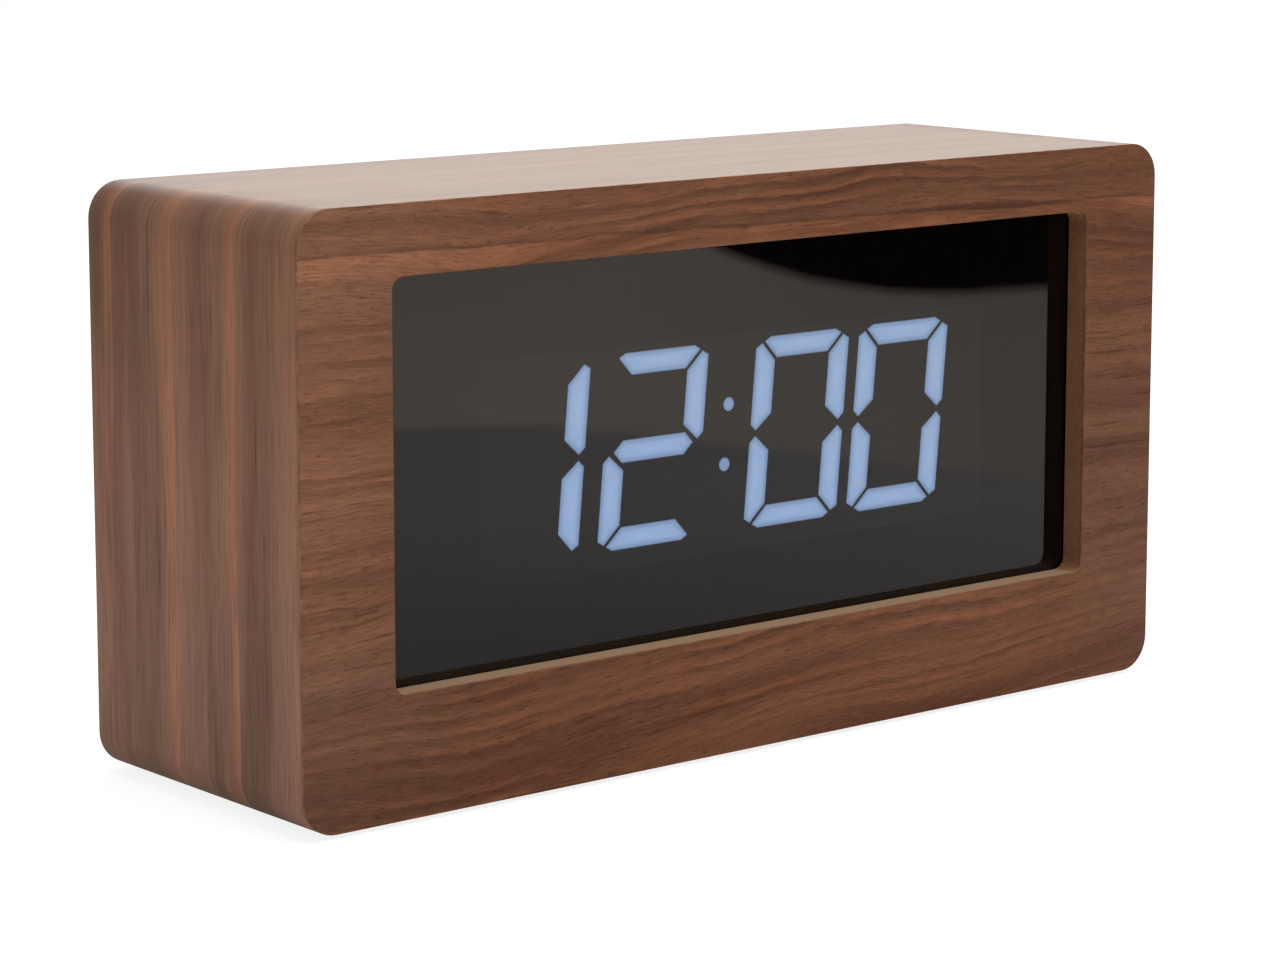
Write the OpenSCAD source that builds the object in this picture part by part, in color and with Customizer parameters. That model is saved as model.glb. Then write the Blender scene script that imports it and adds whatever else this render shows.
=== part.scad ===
// Digital desk clock: a veneered wooden case with a smoked window over a four-digit LED display.
// The frame has +X to the right as seen from the front, +Y to the back and +Z up.
// The origin lies on the table, under the middle of the case.

/* [Case] */
// Width of the case
case_w = 250; // [240:1:320]
// Height of the case without its feet
case_h = 129; // [122:1:170]
// Depth of the case
case_d = 79; // [72:1:120]
// Wall of the case, veneer included
wall = 9; // [7:0.5:10]
// Radius of the four long edges
edge_r = 8; // [4:0.5:12]
// Thickness of the veneer
veneer = 0.6; // [0.4:0.1:1]
// Glue line under the veneer and behind the front board
glue = 0.1; // [0.05:0.05:0.2]
// Side of the glue blocks in the corners
block_w = 13; // [11:0.5:16]
// Length of the glue blocks
block_l = 18; // [14:1:24]
// Diameter of the feet
foot_d = 12; // [8:1:16]
// Height of the feet
foot_h = 1; // [0.8:0.1:3]
// Distance of the feet from the sides of the case
foot_inset = 20; // [14:1:30]

/* [Front] */
// Thickness of the front board, veneer included
front_t = 6; // [4:0.5:9]
// Width of the front beside the window
side_bar = 23.3; // [20:0.1:30]
// Height of the front under the window
lower_bar = 26.7; // [20:0.1:32]
// Height of the front over the window
upper_bar = 15.1; // [15:0.1:22]
// Corner radius of the window
window_r = 3; // [1:0.5:6]
// Thickness of the smoked lens
lens_t = 2; // [1.5:0.5:3]
// Reach of the lens past the window on each side
lens_lap = 5; // [4:0.5:5]
// Thickness of the tape in front of the lens
tape_t = 0.4; // [0.2:0.1:0.8]
// Width of the tape
tape_w = 3.4; // [2.5:0.1:3.5]

/* [Display] */
// Depth of the display's face behind the front of the clock
face_depth = 14.3; // [11:0.1:18]
// Width of a digit
digit_w = 28.5; // [24:0.1:30]
// Height of a digit
digit_h = 43.6; // [36:0.1:48]
// Width of the upright segments
bar_v = 6; // [4:0.1:7]
// Height of the level segments
bar_h = 5; // [4:0.1:6]
// Gap between segments that meet
mitre_gap = 0.7; // [0.5:0.1:1.2]
// Lean of the digits in degrees
slant = 5.2; // [0:0.1:10]
// Distance between the two inner digits
inner_pitch = 42.6; // [38:0.1:46]
// Distance between the two hour digits
hour_pitch = 33.8; // [33.8:0.1:36]
// Distance between the two minute digits
minute_pitch = 31.6; // [31.6:0.1:36]
// Diameter of the colon dots
dot_d = 3.2; // [2:0.1:4]
// Distance between the colon dots
dot_pitch = 13.6; // [10:0.1:18]
// Rise of the colon above the middle of the digits
dot_lift = 0.7; // [-2:0.1:3]
// Drop of the digits below the middle of the window
digit_drop = 1.8; // [0:0.1:6]
// Thickness of the light box behind the face
box_t = 8; // [6:0.5:10]
// Rim of the light box round the digits
box_rim = 4; // [3:0.5:6]
// Depth of the diffusing inserts
insert_t = 3.5; // [2:0.5:4]
// Side of an LED chip
chip_w = 2; // [1.6:0.1:2.8]

/* [Boards] */
// Thickness of the circuit boards
board_t = 1.6; // [1:0.1:2]
// Width of the main board
main_w = 104; // [100:1:106]
// Height of the main board
main_h = 78; // [74:1:84]
// Share of the spare width that lies beside the main board
main_share = 0.32; // [0.28:0.01:0.36]
// Share of the spare width between the main board and the battery bay
lead_share = 0.27; // [0.24:0.01:0.3]
// Space between the main board and the rear cover
standoff = 9; // [8.5:0.5:11]
// Diameter of the posts that carry the boards
post_d = 6; // [5:0.5:7]
// Diameter of the board screws
small_screw_d = 2.5; // [2:0.1:3]
// Diameter of the buzzer
buzzer_d = 12; // [9:1:14]
// Width of the ribbon cable
ribbon_w = 16; // [10:1:20]
// Thickness of the ribbon cable
ribbon_t = 0.9; // [0.6:0.1:1.2]
// Diameter of the battery leads
lead_d = 1.4; // [1:0.1:2]

/* [Rear cover] */
// Thickness of the rear cover
cover_t = 3; // [3:0.1:4]
// Depth of the rear cover inside the back edge of the case
cover_recess = 2; // [1:0.5:4]
// Gap round the rear cover
cover_gap = 0.3; // [0.2:0.1:0.6]
// Diameter of the cover screws
screw_d = 3; // [2.6:0.1:3.5]
// Length of the cover screws
screw_l = 14; // [10:1:16]

/* [Keys] */
// Diameter of the keys
key_d = 8; // [6:0.5:9]
// Distance between the keys
key_pitch = 16; // [15:0.5:18]
// Height of the keys above the rear cover
key_proud = 1.6; // [1.2:0.1:2]
// Gap round the keys
key_gap = 0.25; // [0.2:0.05:0.4]
// Travel of the keys
key_travel = 0.5; // [0.3:0.1:0.6]
// Side of the switches
switch_w = 6; // [5:0.5:7]
// Height of the switch housings
switch_h = 3.5; // [3:0.1:4]
// Diameter of the switch plungers
plunger_d = 3.2; // [2.5:0.1:3.5]
// Height of the plungers above the board
plunger_h = 5; // [4.6:0.1:5.5]

/* [Battery bay] */
// Diameter of a cell
cell_d = 10.5; // [10:0.1:11]
// Length of a cell
cell_l = 44.5; // [43:0.1:45]
// Space between the cells
cell_gap = 0.8; // [0.5:0.1:1.2]
// Room for the spring at a cell's foot
spring_room = 4.5; // [3.5:0.1:6]
// Room for the contact at a cell's head
contact_room = 1.5; // [1.2:0.1:2]
// Wall of the battery bay
bay_wall = 1.6; // [1.2:0.1:2]
// Thickness of the battery door
door_t = 1.8; // [1.6:0.1:2]
// Lap of the battery door on the cover
door_lap = 2; // [1.8:0.1:2.5]
// Gap round the battery door
door_gap = 0.3; // [0.2:0.1:0.5]
// Width of the hooks on the door
hook_w = 8; // [6:1:10]

/* [Hidden] */
$fn = 64;

// Overlap that keeps a cut open at its ends
cut = 1;
// Running clearance of screws in their pilot holes
pilot_gap = 0.05;
// Clearance of screws in the boards and the rear cover
hole_gap = 0.2;
// Material left under a blind hole
hole_floor = 1;

// Heights and depths that the pieces share
z_mid = foot_h + case_h / 2;
y_front = -case_d / 2;
y_back = case_d / 2;
y_panel = y_front + front_t;
y_lens = y_panel + tape_t;
y_clamp = y_lens + lens_t;
y_face = y_front + face_depth;
y_led = y_face + box_t;
y_led_back = y_led + board_t;
y_cover = y_back - cover_recess;
y_inner = y_cover - cover_t;
y_main = y_inner - standoff;
y_main_front = y_main - board_t;

// Inside of the case and the window
skin = veneer + glue;
block_cut = 0.6;
in_w = case_w - 2 * wall;
in_h = case_h - 2 * wall;
win_w = case_w - 2 * side_bar;
win_h = case_h - lower_bar - upper_bar;
win_z = foot_h + lower_bar + win_h / 2;
lens_w = win_w + 2 * lens_lap;
lens_h = win_h + 2 * lens_lap;
lens_gap = 0.3;
tape_inset = 0.5;
carrier_gap = 0.6;
carrier_w = in_w - 2 * carrier_gap;
carrier_h = in_h - 2 * carrier_gap;
carrier_skin = 2.2;
carrier_screw_rise = in_h * 0.3;

// Digits: half sizes, the mitre's cut-back and the small corner cuts
half_w = digit_w / 2;
half_h = digit_h / 2;
inner_w = half_w - bar_v;
inner_h = half_h - bar_h;
back_off = mitre_gap / sqrt(2);
corner_x = 4.3;
corner_z = 2.4;
waist_x = 1.65;
waist_z = 2.1;
waist_gap = 1.7;
tip_z = 0.6;
tip_x = half_w - waist_x;
middle_in = 2.85;
middle_tip = half_w - middle_in;
lean = tan(slant);
digit_z = win_z - digit_drop;
digit_x = [-inner_pitch / 2 - hour_pitch, -inner_pitch / 2, inner_pitch / 2,
           inner_pitch / 2 + minute_pitch];
LIT = ["bc", "abdeg", "abcdef", "abcdef"];
SEGMENTS = "abcdefg";
box_half_w = -digit_x[0] + half_w + half_h * lean + box_rim;
box_half_h = half_h + box_rim;
box_lip = 1.2;
insert_gap = 0.02;
post_margin = 1.5;
post_inset = 2;
board_margin = 1;
post_x = box_half_w + post_d / 2 + post_margin;
post_z = box_half_h - post_d / 2 - post_inset;
led_board_w = 2 * (post_x + post_d / 2 + board_margin);
led_board_h = 2 * box_half_h;

// Room for the cells, and the spare width that it and the main board leave
cells = 3;
cell_pitch = cell_d + cell_gap;
bay_w = cell_l + spring_room + contact_room;
bay_h = cells * cell_pitch;
spare_w = in_w - main_w - bay_w - 2 * bay_wall;

// Main board and what stands on it
main_x = -in_w / 2 + main_share * spare_w + main_w / 2;
boss_x = main_w / 2 - post_d / 2 - post_inset;
boss_z = main_h / 2 - post_d / 2 - post_inset;
boss_screw_short = 3;
key_drop = 15;
key_z = z_mid + main_h / 2 - key_drop;
socket_in = 18;
socket_up = 13;
socket_x = main_x - main_w / 2 + socket_in;
socket_z = z_mid - main_h / 2 + socket_up;
socket_w = 8.94;
socket_h = 3.26;
socket_wall = 0.3;
socket_sink = 0.7;
socket_rim = 1.6;
socket_base = 2;
tongue_gap = 0.05;
tongue_w = 6.7;
tongue_t = 0.7;
tongue_short = 1;
buzzer_out = 20;
buzzer_up = 21;
buzzer_gap = 1.5;
buzzer_x = main_x + buzzer_out;
buzzer_z = z_mid - main_h / 2 + buzzer_up;
buzzer_h = standoff - buzzer_gap;
buzzer_mouth = 2;
plug_w = 20;
plug_h = 6;
plug_t = 5;
led_plug_drop = 12;
main_plug_rise = 10;
led_plug_z = digit_z - led_plug_drop;
main_plug_z = z_mid + main_plug_rise;
ribbon_end = plug_t * 0.6;

// Packages on the boards
leg_w = 0.5;
leg_l = 1.4;
leg_out = 0.6;
chip_lift = 0.15;
chip_h = 2.4;
driver_size = [15.4, 7.5];
driver_legs = 12;
controller_size = [17.9, 7.5];
controller_legs = 14;
controller_place = [-28, 8];
crystal_place = [-28, -8];
crystal_rim = [11.2, 4.8];
crystal_can = [10.4, 4];
crystal_rim_t = 0.5;
crystal_h = 3.5;
capacitor_place = [34, 14];
capacitor_d = 6.3;
capacitor_h = 7.7;
capacitor_foot = 6.6;
capacitor_foot_t = 1;

// Keys
key_flange = 1.2;
key_flange_t = 1;
key_rest = 0.3;
key_fillet = 0.6;
key_bevel = 0.6;
mark_d = 3.2;
mark_sink = 0.3;
field_sink = 0.5;
field_rim = 5;
plunger_gap = 0.2;
plunger_seat = 0.9;
y_flange = y_inner - key_rest - key_flange_t;
y_field = y_cover - field_sink;

// Battery bay, with the hinge line of its door
bay_x = main_x + main_w / 2 + lead_share * spare_w + bay_wall + bay_w / 2;
bay_z = z_mid;
bay_top = bay_z + bay_h / 2;
door_seat = 0.2;
y_seat = y_cover - door_t - door_seat;
cell_lift = 0.3;
cell_spare = 1.2;
y_bay = y_seat - cell_d - cell_spare;
y_cell = y_bay + cell_lift + cell_d / 2;
door_w = bay_w + 2 * door_lap;
door_top = bay_top + door_lap;
door_low = bay_z - bay_h / 2 - door_lap;
hinge_y = y_cover - door_t / 2;
hinge_z = door_top - door_t / 2;
hook_t = 1.2;
hook_x = bay_w * 0.28;
hook_gap = 0.4;
hook_reach = 2.2;
hook_drop = 1.2;
hook_l = 3;
hook_low = door_top - hook_l;
hook_lead = 1;
y_hook = y_inner - door_gap - hook_t;
hook_sweep = 3.4;
latch_w = 12;
latch_l = 7;
latch_slot = 1;
grip_r = 0.4;
grip_pitch = 1.8;
grip_inset = 2;
scoop_r = 7;
contact_w = 8;
contact_t = 0.4;
contact_d = 4;
touch_gap = 0.05;
spring_nose = 0.6;
nub_d = 3.8;
nub_l = 1;
cell_step = 0.4;

// Battery leads
lead_inset = 4;
lead_spread = 8;
lead_rise = 2.4;
lead_sag = 0.8;
lead_bend = 2;
lead_foot = 0.6;

// Colours
walnut = [0.42, 0.27, 0.18];
fibre = [0.58, 0.46, 0.35];
black = [0.07, 0.07, 0.075];
smoke = [0.1, 0.1, 0.1, 0.6];
blue = [0.55, 0.65, 0.85];
board_green = [0.1, 0.32, 0.2];
steel = [0.7, 0.71, 0.73];
ivory = [0.85, 0.83, 0.76];

// Places a flat outline, drawn in X and Z, between two depths
module slab(y0, y1) {
  translate([0, y1, 0]) rotate([90, 0, 0]) linear_extrude(y1 - y0) children();
}

// Places a side outline, drawn in Y and Z, between two places along X
module cross_slab(x0, x1) {
  translate([x0, 0, 0]) rotate([90, 0, 90]) linear_extrude(x1 - x0) children();
}

module rod(d, y0, y1) {
  translate([0, y1, 0]) rotate([90, 0, 0]) cylinder(d = d, h = y1 - y0);
}

module cone(d0, d1, y0, y1) {
  translate([0, y1, 0]) rotate([90, 0, 0]) cylinder(d1 = d1, d2 = d0, h = y1 - y0);
}

module rounded(w, h, r) {
  square([w - 2 * r, h], center = true);
  square([w, h - 2 * r], center = true);
  for (sx = [-1, 1], sz = [-1, 1])
    translate([sx * (w / 2 - r), sz * (h / 2 - r)]) circle(r);
}

module stadium(w, h) {
  square([w - h, h], center = true);
  for (sx = [-1, 1]) translate([sx * (w - h) / 2, 0]) circle(d = h);
}

// Puts a copy of a piece in each of four places
module four(x, z) {
  for (sx = [-1, 1], sz = [-1, 1]) translate([sx * x, 0, sz * z]) children();
}

// Case: four boards mitred at the corners, veneered as one
module core_outline() {
  rounded(case_w - 2 * skin, case_h - 2 * skin, edge_r - skin);
}

// One board of the case, between the two mitres on its side of the ring
module case_board(mitres) {
  color(fibre) translate([0, 0, z_mid]) slab(y_panel + glue, y_back) intersection() {
    difference() {
      core_outline();
      square([in_w, in_h], center = true);
    }
    polygon(mitres);
  }
}

module top_board() {
  case_board([[-case_w / 2, case_h / 2], [case_w / 2, case_h / 2],
              [in_w / 2, in_h / 2], [-in_w / 2, in_h / 2]]);
}

module bottom_board() {
  case_board([[-case_w / 2, -case_h / 2], [case_w / 2, -case_h / 2],
              [in_w / 2, -in_h / 2], [-in_w / 2, -in_h / 2]]);
}

module left_board() {
  case_board([[-case_w / 2, -case_h / 2], [-case_w / 2, case_h / 2],
              [-in_w / 2, in_h / 2], [-in_w / 2, -in_h / 2]]);
}

module right_board() {
  case_board([[case_w / 2, -case_h / 2], [case_w / 2, case_h / 2],
              [in_w / 2, in_h / 2], [in_w / 2, -in_h / 2]]);
}

module wrap_veneer() {
  color(walnut) translate([0, 0, z_mid]) slab(y_front + veneer, y_back) difference() {
    rounded(case_w, case_h, edge_r);
    rounded(case_w - 2 * veneer, case_h - 2 * veneer, edge_r - veneer);
  }
}

module corner_blocks() {
  color(fibre) translate([0, 0, z_mid]) for (sx = [-1, 1], sz = [-1, 1]) difference() {
    slab(y_inner - block_l, y_inner)
      polygon([[sx * in_w / 2, sz * in_h / 2],
               [sx * (in_w / 2 - block_w), sz * in_h / 2],
               [sx * (in_w / 2 - block_w), sz * (in_h / 2 - block_w * block_cut)],
               [sx * (in_w / 2 - block_w * block_cut), sz * (in_h / 2 - block_w)],
               [sx * in_w / 2, sz * (in_h / 2 - block_w)]]);
    translate([sx * (in_w - block_w) / 2, 0, sz * (in_h - block_w) / 2])
      rod(screw_d + 2 * pilot_gap, y_cover - screw_l - cut, y_inner + cut);
  }
}

module feet() {
  color(black) for (sx = [-1, 1], sy = [-1, 1])
    translate([sx * (case_w / 2 - foot_inset), sy * (case_d / 2 - foot_inset), 0])
      cylinder(d = foot_d, h = foot_h);
}

// Front: a board with the window cut through, faced with veneer
module window() {
  rounded(win_w, win_h, window_r);
}

module front_board() {
  color(fibre) difference() {
    slab(y_front + skin, y_panel) difference() {
      translate([0, z_mid]) core_outline();
      translate([0, win_z]) window();
    }
    translate([0, 0, z_mid]) four(carrier_screw_x(), carrier_screw_rise)
      rod(small_screw_d + 2 * pilot_gap, y_front + skin + hole_floor, y_panel + cut);
  }
}

module front_veneer() {
  color(walnut) slab(y_front, y_front + veneer) difference() {
    translate([0, z_mid]) rounded(case_w, case_h, edge_r);
    translate([0, win_z]) window();
  }
}

// Lens, held between its tape and the display carrier
module lens_tape() {
  color(black) translate([0, 0, win_z]) slab(y_panel, y_lens) difference() {
    square([lens_w - 2 * tape_inset, lens_h - 2 * tape_inset], center = true);
    square([lens_w - 2 * (tape_inset + tape_w), lens_h - 2 * (tape_inset + tape_w)], center = true);
  }
}

module lens() {
  color(smoke) translate([0, 0, win_z]) slab(y_lens, y_clamp) rounded(lens_w, lens_h, window_r);
}

function carrier_screw_x() = (lens_w / 2 + lens_gap + carrier_w / 2) / 2;

// Moulded frame: pocket for the lens, opening for the digits, cored back and posts for the board
module display_carrier() {
  core_wall = 2;
  core_margin = 3;
  core_x0 = post_x + post_d / 2 + core_wall;
  core_x1 = lens_w / 2 - core_wall;
  core_n = 3;
  core_pitch = (carrier_h - 2 * core_margin) / core_n;
  lens_low = win_z - lens_h / 2 - lens_gap;
  color(black) difference() {
    union() {
      translate([0, 0, z_mid]) slab(y_panel, y_face) square([carrier_w, carrier_h], center = true);
      translate([0, 0, digit_z]) four(post_x, post_z) rod(post_d, y_face - cut, y_led);
    }
    slab(y_panel - cut, y_clamp) translate([-lens_w / 2 - lens_gap, lens_low])
      square([lens_w + 2 * lens_gap, case_h]);
    translate([0, 0, digit_z]) slab(y_clamp - cut, y_face + cut)
      square([2 * (box_half_w - box_lip), 2 * (box_half_h - box_lip)], center = true);
    translate([0, 0, digit_z]) four(post_x, post_z)
      rod(small_screw_d + 2 * pilot_gap, y_face + hole_floor, y_led + cut);
    for (sx = [-1, 1], i = [0 : core_n - 1])
      translate([sx * (core_x0 + core_x1) / 2, 0, z_mid + (i - (core_n - 1) / 2) * core_pitch])
        slab(y_clamp + carrier_skin, y_face + cut)
          square([core_x1 - core_x0, core_pitch - core_wall], center = true);
    translate([0, 0, z_mid]) four(carrier_screw_x(), carrier_screw_rise)
      rod(small_screw_d + 2 * pilot_gap, y_panel - cut, y_face + cut);
  }
}

// Round-headed screw whose head sits on the plane y, with its shank towards the front
module small_screw(y, length) {
  difference() {
    union() {
      rod(small_screw_d * 1.9, y, y + small_screw_d * 0.6);
      rod(small_screw_d, y - length, y + small_screw_d * 0.3);
    }
    for (turn = [0, 90]) rotate([0, turn, 0])
      translate([-small_screw_d * 0.6, y + small_screw_d * 0.25, -small_screw_d * 0.12])
        cube([small_screw_d * 1.2, small_screw_d, small_screw_d * 0.24]);
  }
}

module carrier_screws() {
  color(steel) translate([0, 0, z_mid]) four(carrier_screw_x(), carrier_screw_rise)
    small_screw(y_face, face_depth - front_t / 2);
}

// Seven-segment digits: each segment is an outline in its digit's own frame, leaned at the end
function lean_point(p) = [p[0] + p[1] * lean, p[1]];

function corner_point(side) =
  let (t = (bar_v - bar_h + corner_z + side * back_off) / (corner_x + corner_z))
  [half_w - corner_x * t, half_h - corner_z * (1 - t)];

function flip(points, sx, sz) = [for (p = points) [sx * p[0], sz * p[1]]];

function level_bar() = [
  [inner_w - back_off, inner_h], corner_point(1), [half_w - corner_x, half_h],
  [corner_x - half_w, half_h], [-corner_point(1)[0], corner_point(1)[1]], [back_off - inner_w, inner_h]
];

function upright_bar() = [
  [inner_w, inner_h - back_off], corner_point(-1), [half_w, half_h - corner_z],
  [half_w, waist_z], [tip_x, tip_z], [inner_w, bar_h / 2 + waist_gap]
];

function middle_bar() = [
  [middle_tip, 0], [middle_tip - bar_h / 2, bar_h / 2], [bar_h / 2 - middle_tip, bar_h / 2],
  [-middle_tip, 0], [bar_h / 2 - middle_tip, -bar_h / 2], [middle_tip - bar_h / 2, -bar_h / 2]
];

function segment(name) =
  name == "a" ? level_bar() :
  name == "b" ? upright_bar() :
  name == "c" ? flip(upright_bar(), 1, -1) :
  name == "d" ? flip(level_bar(), 1, -1) :
  name == "e" ? flip(upright_bar(), -1, -1) :
  name == "f" ? flip(upright_bar(), -1, 1) : middle_bar();

function is_lit(digit, name) = len(search(name, LIT[digit])) > 0;

module segment_solid(digit, name, y0, y1) {
  translate([digit_x[digit], 0, digit_z]) slab(y0, y1)
    polygon([for (p = segment(name)) lean_point(p)]);
}

// The inserts of one state: lit or dark
module inserts(state) {
  for (digit = [0 : 3], name = SEGMENTS) if (is_lit(digit, name) == state)
    segment_solid(digit, name, y_face, y_face + insert_t);
}

module light_box() {
  color(black) difference() {
    translate([0, 0, digit_z]) slab(y_face, y_led) square([2 * box_half_w, 2 * box_half_h], center = true);
    for (digit = [0 : 3], name = SEGMENTS) segment_solid(digit, name, y_face - cut, y_led + cut);
    dots(dot_d, y_face - cut, y_led + cut);
  }
}

// The place of a colon dot, which leans with the digits
function dot_spot(side, y) =
  let (rise = dot_lift + side * dot_pitch / 2) [rise * lean, y, digit_z + rise];

module dots(d, y0, y1) {
  for (side = [-1, 1]) translate(dot_spot(side, 0)) rod(d, y0, y1);
}

module lit_segments() { color(blue) inserts(true); }

module dark_segments() { color([0.16, 0.17, 0.2]) inserts(false); }

module colon_dots() { color(blue) dots(dot_d - 2 * insert_gap, y_face, y_face + insert_t); }

// Two chips behind each segment, at the quarter points of its length, and one behind each dot
module led_chips() {
  chip_t = chip_w * 0.4;
  spread = digit_h / 4;
  level_z = half_h - bar_h / 2;
  upright_x = half_w - bar_v / 2;
  spots = [for (s = [-1, 1], z = [-level_z, 0, level_z]) [s * inner_w / 2, z],
           for (s = [-1, 1], x = [-upright_x, upright_x], r = [-1, 1])
             [x, s * (spread + r * inner_h / 5)]];
  color([0.9, 0.88, 0.7]) {
    for (x = digit_x, p = spots)
      translate([x + lean_point(p)[0], y_led - chip_t, digit_z + p[1]])
        translate([-chip_w / 2, 0, -chip_w * 0.3]) cube([chip_w, chip_t, chip_w * 0.6]);
    for (side = [-1, 1])
      translate(dot_spot(side, y_led - chip_t))
        translate([-chip_w * 0.4, 0, -chip_w * 0.3]) cube([chip_w * 0.8, chip_t, chip_w * 0.6]);
  }
}

module display_board() {
  color(board_green) translate([0, 0, digit_z]) difference() {
    slab(y_led, y_led_back) square([led_board_w, led_board_h], center = true);
    four(post_x, post_z) rod(small_screw_d + 2 * hole_gap, y_led - cut, y_led_back + cut);
  }
}

module display_screws() {
  color(steel) translate([0, 0, digit_z]) four(post_x, post_z)
    small_screw(y_led_back, board_t + box_t - 2 * hole_floor);
}

// Chip package with two rows of legs, standing off a board face towards y1
module chip(size, y0, y1, legs) {
  leg_pitch = size[0] / legs;
  foot = y0 + chip_lift * sign(y1 - y0);
  low = min(foot, y1);
  high = max(foot, y1);
  knee = (low + high) / 2;
  slab(low, high) square(size, center = true);
  for (i = [0 : legs - 1], sz = [-1, 1])
    translate([(i - (legs - 1) / 2) * leg_pitch, 0, sz * (size[1] / 2 + leg_out)])
      slab(min(y0, knee), max(y0, knee)) square([leg_w, leg_l], center = true);
}

module driver_chip() {
  color(black) translate([digit_x[2], 0, digit_z]) 
    chip(driver_size, y_led_back, y_led_back + chip_h, driver_legs);
}

// Boxed header with a slot that the ribbon enters
module ribbon_socket(z, y0, y1, mouth) {
  translate([main_x, 0, z]) difference() {
    slab(y0, y1) square([plug_w, plug_h], center = true);
    slab(mouth - plug_t / 2, mouth + plug_t / 2)
      square([ribbon_w + 2 * lens_gap, ribbon_t + 2 * lens_gap], center = true);
  }
}

module display_socket() {
  color(ivory) ribbon_socket(led_plug_z, y_led_back, y_led_back + plug_t, y_led_back + plug_t);
}

module main_socket() {
  color(ivory) ribbon_socket(main_plug_z, y_main_front - plug_t, y_main_front, y_main_front - plug_t);
}

// Flat cable: an S between the two sockets, as thick all along
module ribbon_cable() {
  y0 = y_led_back + ribbon_end;
  y1 = y_main_front - ribbon_end;
  steps = 24;
  straight = 0.12;
  function along(t) = min(1, max(0, (t - straight) / (1 - 2 * straight)));
  function height(t) = led_plug_z + (main_plug_z - led_plug_z) * (1 - cos(180 * along(t))) / 2;
  function spot(t) = [y0 + (y1 - y0) * t, height(t)];
  function slope(t) = atan2(height(t + 0.01) - height(t - 0.01), 0.02 * (y1 - y0));
  function edge(t, side) = spot(t) + side * ribbon_t / 2 * [-sin(slope(t)), cos(slope(t))];
  color([0.75, 0.76, 0.78]) cross_slab(main_x - ribbon_w / 2, main_x + ribbon_w / 2)
    polygon([for (i = [0 : steps]) edge(i / steps, 1), for (i = [steps : -1 : 0]) edge(i / steps, -1)]);
}

// Main board on the rear cover's posts
module main_board() {
  color(board_green) translate([main_x, 0, z_mid]) difference() {
    slab(y_main_front, y_main) square([main_w, main_h], center = true);
    four(boss_x, boss_z) rod(small_screw_d + 2 * hole_gap, y_main_front - cut, y_main + cut);
  }
}

module main_screws() {
  color(steel) translate([main_x, 0, z_mid]) four(boss_x, boss_z)
    mirror([0, 1, 0]) small_screw(-y_main_front, board_t + standoff - boss_screw_short);
}

module on_main(place) {
  translate([main_x + place[0], 0, z_mid + place[1]]) children();
}

module controller() {
  color(black) on_main(controller_place)
    chip(controller_size, y_main_front, y_main_front - chip_h, controller_legs);
}

module crystal() {
  color(steel) on_main(crystal_place) {
    slab(y_main_front - crystal_rim_t, y_main_front) stadium(crystal_rim[0], crystal_rim[1]);
    slab(y_main_front - crystal_h, y_main_front - crystal_rim_t) stadium(crystal_can[0], crystal_can[1]);
  }
}

module capacitor() {
  color([0.2, 0.22, 0.3]) on_main(capacitor_place) {
    rod(capacitor_d, y_main_front - capacitor_h, y_main_front - capacitor_foot_t);
    slab(y_main_front - capacitor_foot_t, y_main_front) square(capacitor_foot, center = true);
  }
}

module buzzer() {
  color(black) translate([buzzer_x, 0, buzzer_z]) difference() {
    rod(buzzer_d, y_main, y_main + buzzer_h);
    rod(buzzer_mouth, y_main + buzzer_h - buzzer_mouth, y_main + buzzer_h + cut);
  }
}

// Power inlet: a rolled steel shell standing on the board, with its mouth in the rear cover
module power_socket() {
  color(steel) translate([socket_x, 0, socket_z]) difference() {
    slab(y_main, y_cover - socket_sink) stadium(socket_w, socket_h);
    slab(y_main + socket_base, y_cover) stadium(socket_w - 2 * socket_wall, socket_h - 2 * socket_wall);
  }
}

module power_tongue() {
  inset = 2 * (socket_wall + tongue_gap);
  color(black) translate([socket_x, 0, socket_z]) {
    slab(y_main + socket_base, y_main + 2 * socket_base) stadium(socket_w - inset, socket_h - inset);
    slab(y_main + 2 * socket_base, y_cover - socket_sink - tongue_short)
      square([tongue_w, tongue_t], center = true);
  }
}

// Keys and the switches under them
function key_x(k) = main_x + (k - 2) * key_pitch;

module switch_housings() {
  color(black) for (k = [0 : 4]) translate([key_x(k), 0, key_z]) difference() {
    slab(y_main, y_main + switch_h) square(switch_w, center = true);
    rod(plunger_d + 2 * plunger_gap, y_main + switch_h - plunger_seat - key_travel - plunger_gap,
        y_main + switch_h + cut);
  }
}

module plunger(k) {
  color([0.8, 0.8, 0.8]) translate([key_x(k), 0, key_z])
    rod(plunger_d, y_main + switch_h - plunger_seat, y_main + plunger_h);
}

// A key's sunk mark: diamond, bar, arrow up, arrow down or dot
module key_mark(k) {
  if (k == 0) circle(d = mark_d, $fn = 4);
  if (k == 1) stadium(mark_d, mark_d / 3);
  if (k == 2) rotate(90) circle(d = mark_d, $fn = 3);
  if (k == 3) rotate(-90) circle(d = mark_d, $fn = 3);
  if (k == 4) circle(d = mark_d * 0.6);
}

// Turned outline of a key: stem, retaining flange and a cap with a rounded edge
module key(k) {
  r = key_d / 2;
  top = y_cover + key_proud;
  color(black) translate([key_x(k), 0, key_z]) difference() {
    rotate([-90, 0, 0]) rotate_extrude() {
      translate([0, y_main + plunger_h]) square([plunger_d / 2, y_flange - y_main - plunger_h]);
      translate([0, y_flange]) square([r + key_flange, key_flange_t]);
      translate([0, y_flange]) square([r, top - key_fillet - y_flange]);
      translate([0, y_flange]) square([r - key_fillet, top - y_flange]);
      translate([r - key_fillet, top - key_fillet]) circle(key_fillet);
    }
    slab(top - mark_sink, top + cut) key_mark(k);
  }
}

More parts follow.
